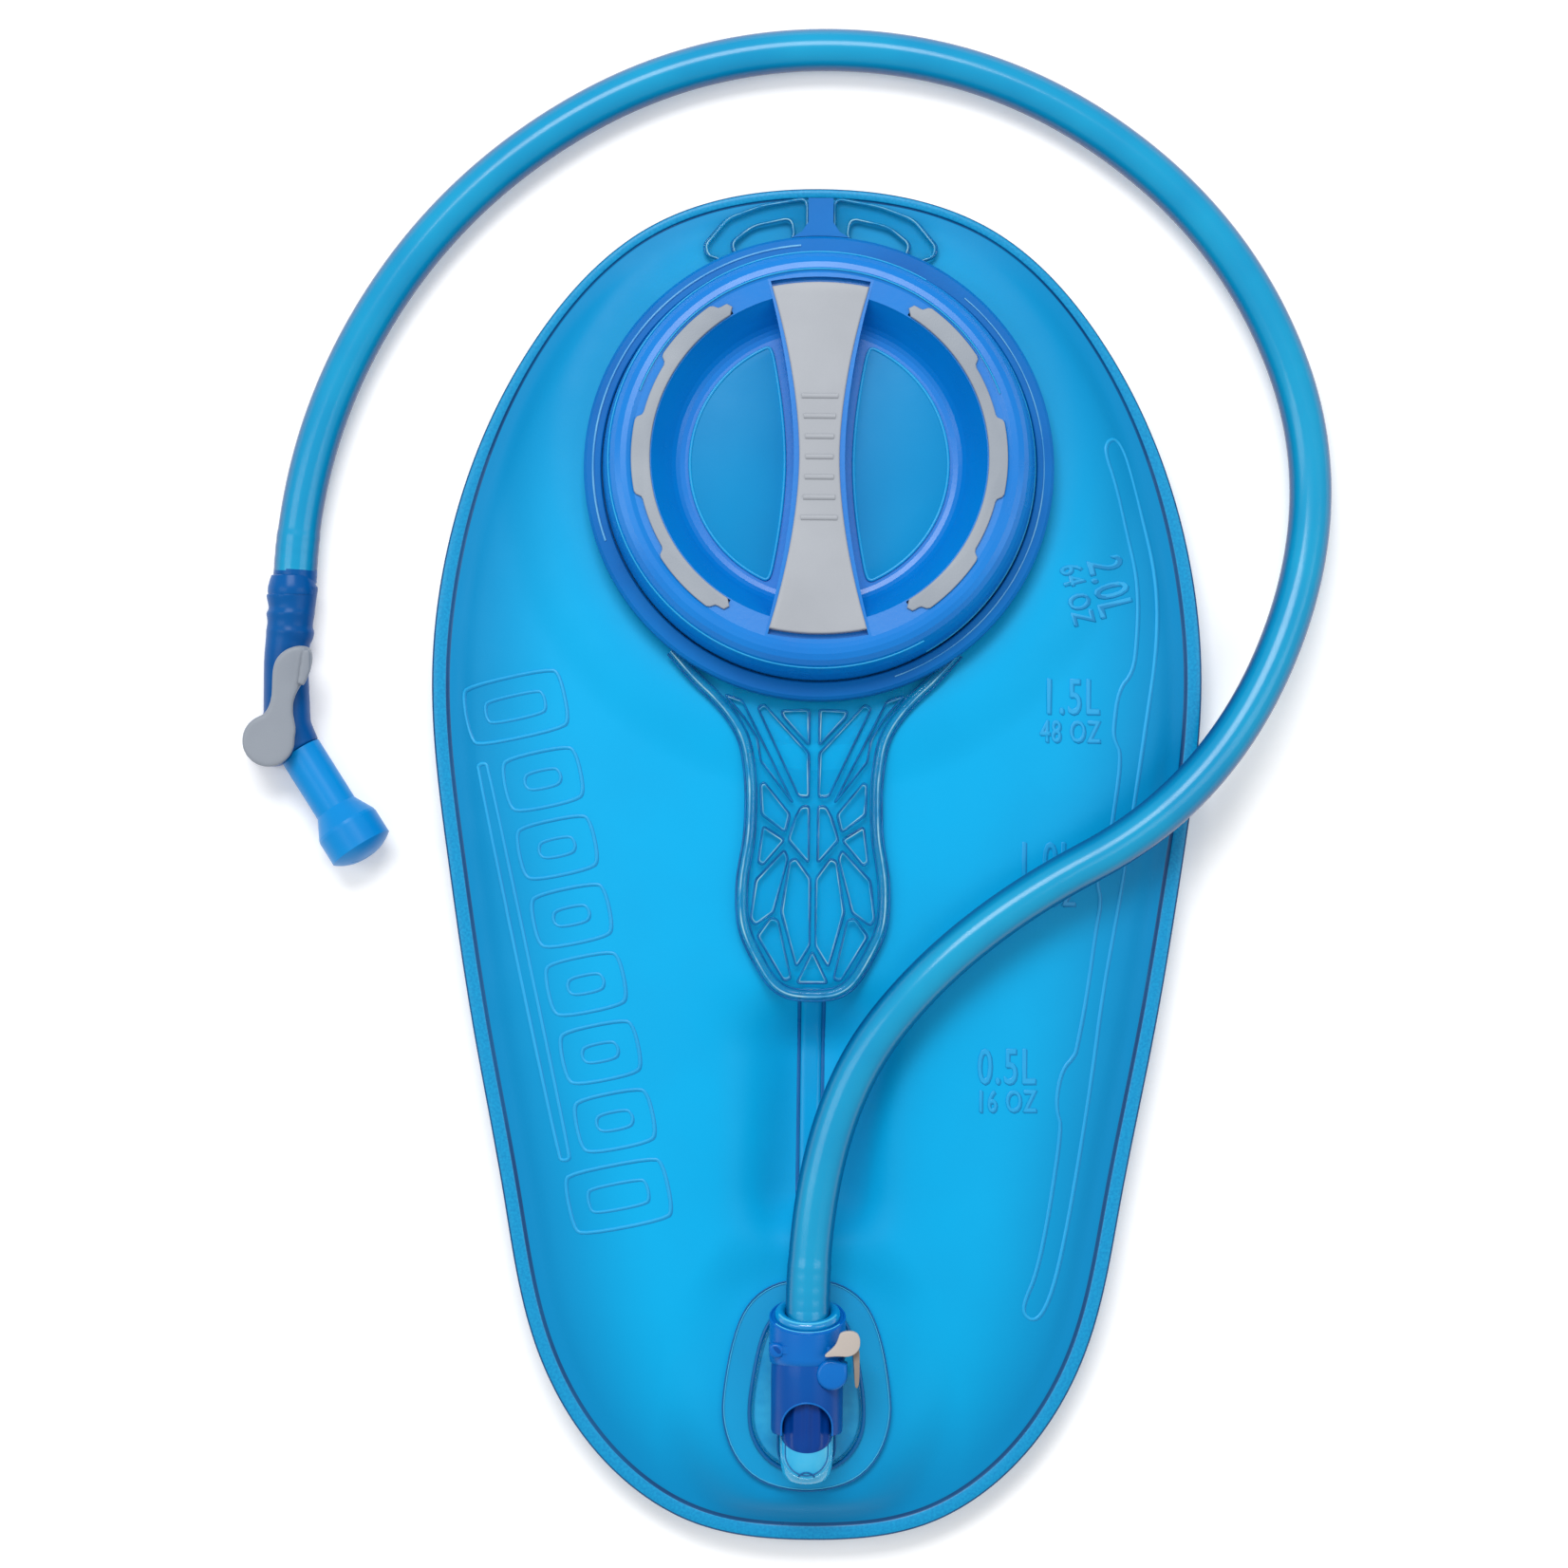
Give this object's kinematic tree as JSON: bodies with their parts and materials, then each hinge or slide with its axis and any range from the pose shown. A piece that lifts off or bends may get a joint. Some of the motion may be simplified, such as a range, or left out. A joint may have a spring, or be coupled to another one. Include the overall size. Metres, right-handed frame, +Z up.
{
  "type": "hydration bladder",
  "caption": "Flat drinking-water bladder with a wide screw cap on a tether, clear handle frame, exit port, drink tube and bite valve.",
  "frame": {"origin": "on the surface it lies on, under the middle of the bag's bounding box (the free drink tube and bite valve left out)", "axes": "+Y along the bag towards the fill cap, +Z up out of the front film, +X to the right seen from above with the cap away from the viewer"},
  "size_m": [0.2702, 0.3755, 0.0429],
  "materials": {
    "film_blue": "gloss",
    "clear_tpu": "gloss",
    "cap_blue": "satin",
    "grip_gray": "matte",
    "dark_blue": "satin",
    "button_beige": "satin",
    "tube_blue": "gloss",
    "silicone_blue": "satin",
    "seal_rubber": "matte",
    "steel": "polished"
  },
  "bodies": {
    "bag": {"front_film": "film_blue", "back_film": "film_blue", "port_collar": "clear_tpu", "tether_strap": "dark_blue", "handle_frame": "clear_tpu", "exit_port": "clear_tpu", "poppet_spring": "steel", "connector_body": "dark_blue", "connector_nose": "dark_blue", "nose_seal": "seal_rubber", "latch_spring": "steel", "hose_tail": "dark_blue", "drink_tube": "tube_blue", "valve_body": "dark_blue", "bite_sleeve": "silicone_blue"},
    "cap_ring": {"tether_ring": "dark_blue"},
    "cap": {"cap_shell": "cap_blue", "cap_gasket": "seal_rubber", "grip_bar_insert": "grip_gray", "grip_arc_left": "grip_gray", "grip_arc_right": "grip_gray"},
    "button": {"release_button": "button_beige", "latch_plate": "button_beige"},
    "poppet": {"check_poppet": "dark_blue", "poppet_seal": "seal_rubber"},
    "lever": {"shutoff_lever": "grip_gray", "shutoff_plug": "dark_blue", "plug_seal": "seal_rubber"}
  },
  "joints": [
    {"name": "cap_rise", "type": "slide", "parent": "bag", "child": "cap_ring", "axis": [0, 0.1219, 0.9925], "range_m": [0, 0.01201]},
    {"name": "cap_turn", "type": "hinge", "parent": "cap_ring", "child": "cap", "pos_m": [0, 0.097, 0.0175], "axis": [0, 0.1219, 0.9925], "range_deg": [0, 360]},
    {"name": "button_press", "type": "slide", "parent": "bag", "child": "button", "axis": [-1, 0, 0], "range_m": [0, 0.0014], "stiffness_N_per_m": 900, "springref_m": -0.002, "deforming": ["latch_spring"]},
    {"name": "poppet_push", "type": "slide", "parent": "bag", "child": "poppet", "axis": [0, -1, 0], "range_m": [0, 0.0006], "stiffness_N_per_m": 600, "springref_m": -0.003, "deforming": ["poppet_spring"]},
    {"name": "lever_turn", "type": "hinge", "parent": "bag", "child": "lever", "pos_m": [-0.1354, 0.0295, 0.006], "axis": [0, 0, 1], "range_deg": [0, 90]}
  ],
  "couplings": [
    {"joint": "cap_rise", "follows": "cap_turn", "m_per_rad": 0.0019099}
  ]
}
